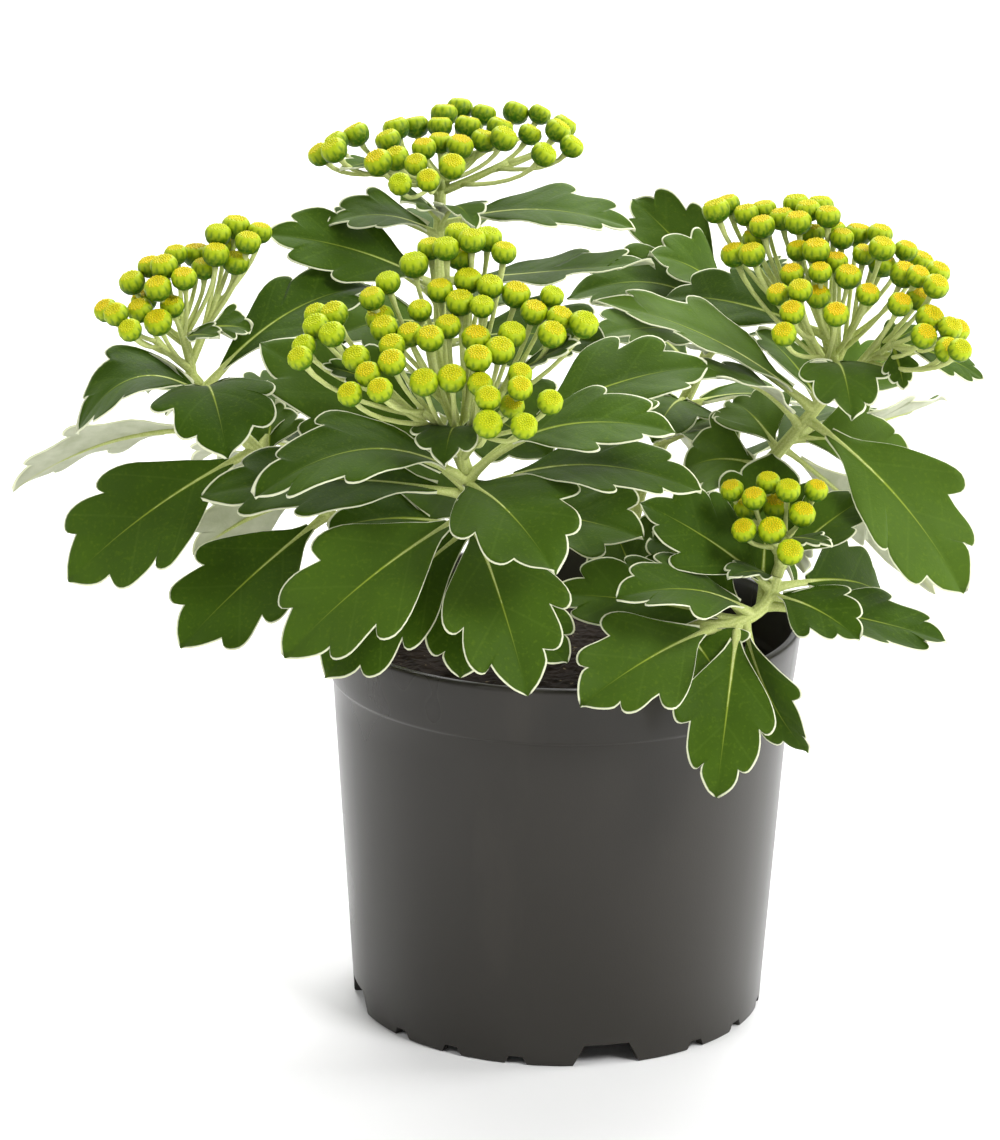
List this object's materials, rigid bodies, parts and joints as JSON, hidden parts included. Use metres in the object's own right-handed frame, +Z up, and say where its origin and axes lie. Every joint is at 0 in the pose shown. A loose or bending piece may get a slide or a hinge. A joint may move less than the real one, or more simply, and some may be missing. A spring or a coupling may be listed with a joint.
{
  "type": "potted gold and silver chrysanthemum",
  "caption": "Bushy flowering plant in a round dark nursery pot: silver-edged lobed leaves on spreading stems, topped by flat clusters of round yellow buds.",
  "frame": {"origin": "centre of the object's box in plan, at the level the pot's foot stands on", "axes": "+Z up along the pot's axis, +X to the viewer's right, -Y towards the viewer; the pot's axis stands at X 17.9 mm, Y -1.8 mm"},
  "size_m": [0.2385, 0.1705, 0.225],
  "materials": {
    "pot": "satin moulded plastic",
    "potting_mix": "matt, crumbly peat and bark",
    "leafy_stem": "matt green with cream edges and silvery felt below",
    "flower_head": "matt lime to golden yellow"
  },
  "bodies": {
    "root": {"pot": "pot", "potting_mix": "potting_mix", "front_leafy_stem": "leafy_stem", "back_leafy_stem": "leafy_stem", "left_leafy_stem": "leafy_stem", "right_leafy_stem": "leafy_stem", "low_right_leafy_stem": "leafy_stem", "back_left_leafy_stem": "leafy_stem", "back_right_leafy_stem": "leafy_stem", "front_flower_head": "flower_head", "back_flower_head": "flower_head", "left_flower_head": "flower_head", "right_flower_head": "flower_head", "low_right_flower_head": "flower_head"}
  },
  "joints": []
}
